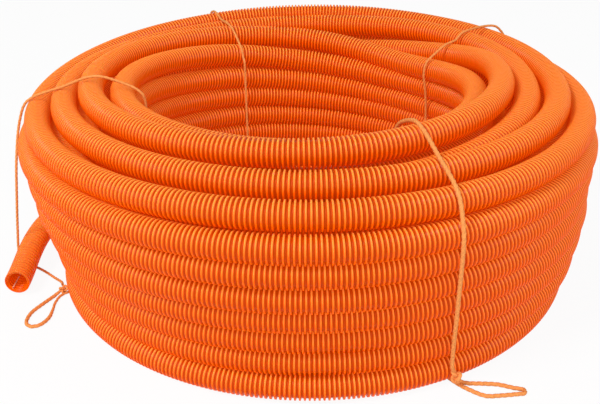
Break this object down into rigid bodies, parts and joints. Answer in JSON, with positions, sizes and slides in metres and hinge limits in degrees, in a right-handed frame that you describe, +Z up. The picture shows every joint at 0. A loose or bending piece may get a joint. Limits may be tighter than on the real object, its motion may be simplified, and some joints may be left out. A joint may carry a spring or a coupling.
{
  "type": "corrugated conduit coil",
  "caption": "Coil of orange corrugated plastic conduit with a draw wire, tied with twine and lying flat, with one open free end.",
  "frame": {"origin": "on the coil's own axis, at the floor that it lies on", "axes": "+Z up along the coil's axis; -X towards the side where the free end lies; -Y the way the free end's mouth opens"},
  "size_m": [0.5946, 0.567, 0.2198],
  "materials": {
    "conduit_plastic": "satin",
    "wire_steel": "satin",
    "twine": "matte"
  },
  "bodies": {
    "root": {"conduit_coil": "conduit_plastic", "conduit_end": "conduit_plastic", "draw_wire": "wire_steel", "tie_left": "twine", "tie_front": "twine", "tie_back_left": "twine", "tie_back_right": "twine"}
  },
  "joints": []
}
